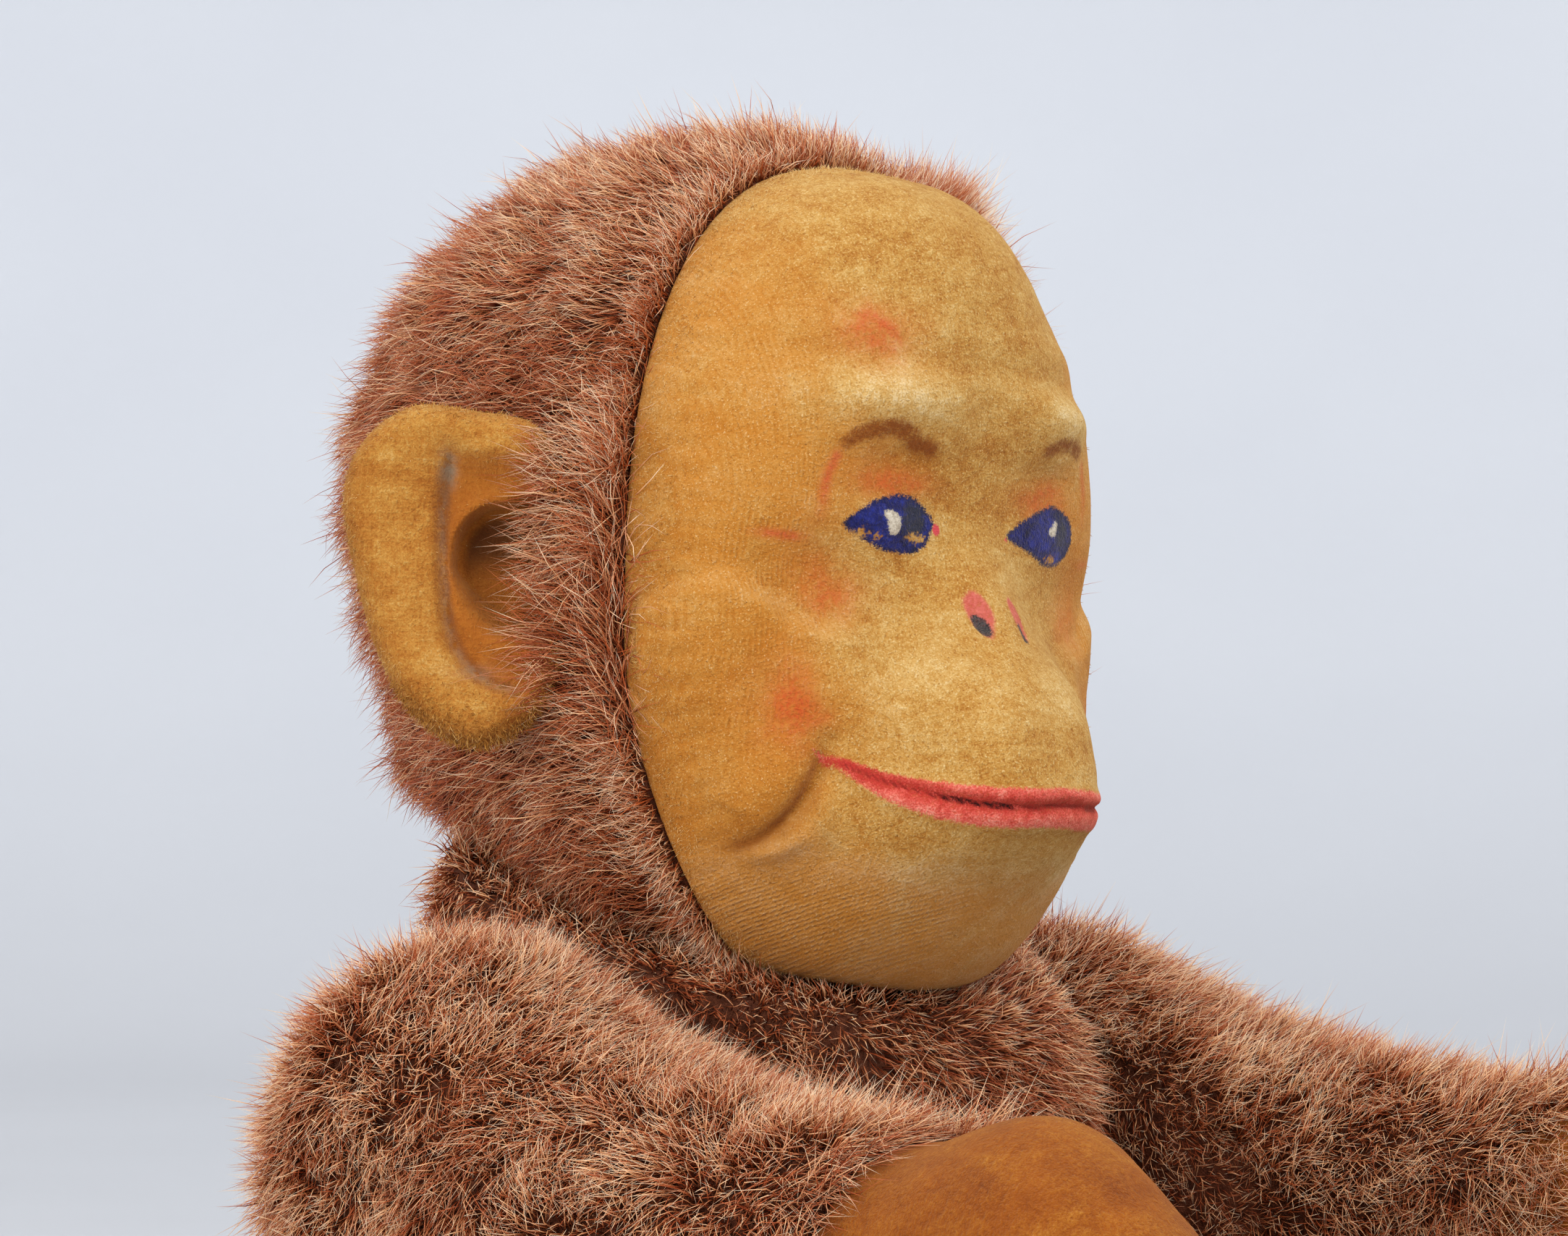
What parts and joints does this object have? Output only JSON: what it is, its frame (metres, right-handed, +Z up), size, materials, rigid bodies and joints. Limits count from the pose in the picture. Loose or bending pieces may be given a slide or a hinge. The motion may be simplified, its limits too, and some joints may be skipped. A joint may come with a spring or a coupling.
{
  "type": "jointed stuffed toy monkey",
  "caption": "Seated stuffed toy chimpanzee of brown mohair with moulded velvet face, ears, hands and feet; head, arms and legs turn on disc joints.",
  "frame": {"origin": "middle of the flat underside that the toy sits on", "axes": "+Z up; the toy faces -Y; its left side is +X"},
  "size_m": [0.1428, 0.1813, 0.1851],
  "materials": {
    "mohair": "brown mohair pile about 6 mm long on woven backing",
    "velvet": "ochre short-pile velvet, moulded, hand-painted on the face",
    "ear_velvet": "orange-ochre short-pile velvet",
    "stuffing": "firmly packed wood wool",
    "hardboard": "plain hardboard",
    "steel": "plain wire and sheet"
  },
  "bodies": {
    "torso": {"torso_skin": "mohair", "torso_stuffing": "stuffing", "neck_disc_lower": "hardboard", "shoulder_disc_inner_left": "hardboard", "shoulder_disc_inner_right": "hardboard", "hip_disc_inner_left": "hardboard", "hip_disc_inner_right": "hardboard"},
    "head": {"head_skin": "mohair", "face_mask": "velvet", "head_stuffing": "stuffing", "ear_left": "ear_velvet", "ear_right": "ear_velvet", "neck_disc_upper": "hardboard", "neck_washer_upper": "steel", "neck_washer_lower": "steel", "neck_pin": "steel"},
    "arm_left": {"arm_skin_left": "mohair", "hand_left": "velvet", "arm_stuffing_left": "stuffing", "shoulder_disc_outer_left": "hardboard", "shoulder_washer_inner_left": "steel", "shoulder_washer_outer_left": "steel", "shoulder_pin_left": "steel"},
    "arm_right": {"arm_skin_right": "mohair", "hand_right": "velvet", "arm_stuffing_right": "stuffing", "shoulder_disc_outer_right": "hardboard", "shoulder_washer_inner_right": "steel", "shoulder_washer_outer_right": "steel", "shoulder_pin_right": "steel"},
    "leg_left": {"leg_skin_left": "mohair", "foot_left": "velvet", "leg_stuffing_left": "stuffing", "hip_disc_outer_left": "hardboard", "hip_washer_inner_left": "steel", "hip_washer_outer_left": "steel", "hip_pin_left": "steel"},
    "leg_right": {"leg_skin_right": "mohair", "foot_right": "velvet", "leg_stuffing_right": "stuffing", "hip_disc_outer_right": "hardboard", "hip_washer_inner_right": "steel", "hip_washer_outer_right": "steel", "hip_pin_right": "steel"}
  },
  "joints": [
    {"name": "neck_turn", "type": "hinge", "parent": "torso", "child": "head", "pos_m": [0, -0.004, 0.1063], "axis": [0, -0.342, 0.9397], "continuous": true},
    {"name": "shoulder_swing_left", "type": "hinge", "parent": "torso", "child": "arm_left", "pos_m": [0.0336, -0.0105, 0.0825], "axis": [-1, 0, 0], "range_deg": [-8, 45]},
    {"name": "shoulder_swing_right", "type": "hinge", "parent": "torso", "child": "arm_right", "pos_m": [-0.0336, -0.0105, 0.0825], "axis": [-1, 0, 0], "range_deg": [-8, 45]},
    {"name": "hip_swing_left", "type": "hinge", "parent": "torso", "child": "leg_left", "pos_m": [0.027, -0.004, 0.022], "axis": [-1, 0, 0], "range_deg": [-90, 10]},
    {"name": "hip_swing_right", "type": "hinge", "parent": "torso", "child": "leg_right", "pos_m": [-0.027, -0.004, 0.022], "axis": [-1, 0, 0], "range_deg": [-90, 10]}
  ]
}
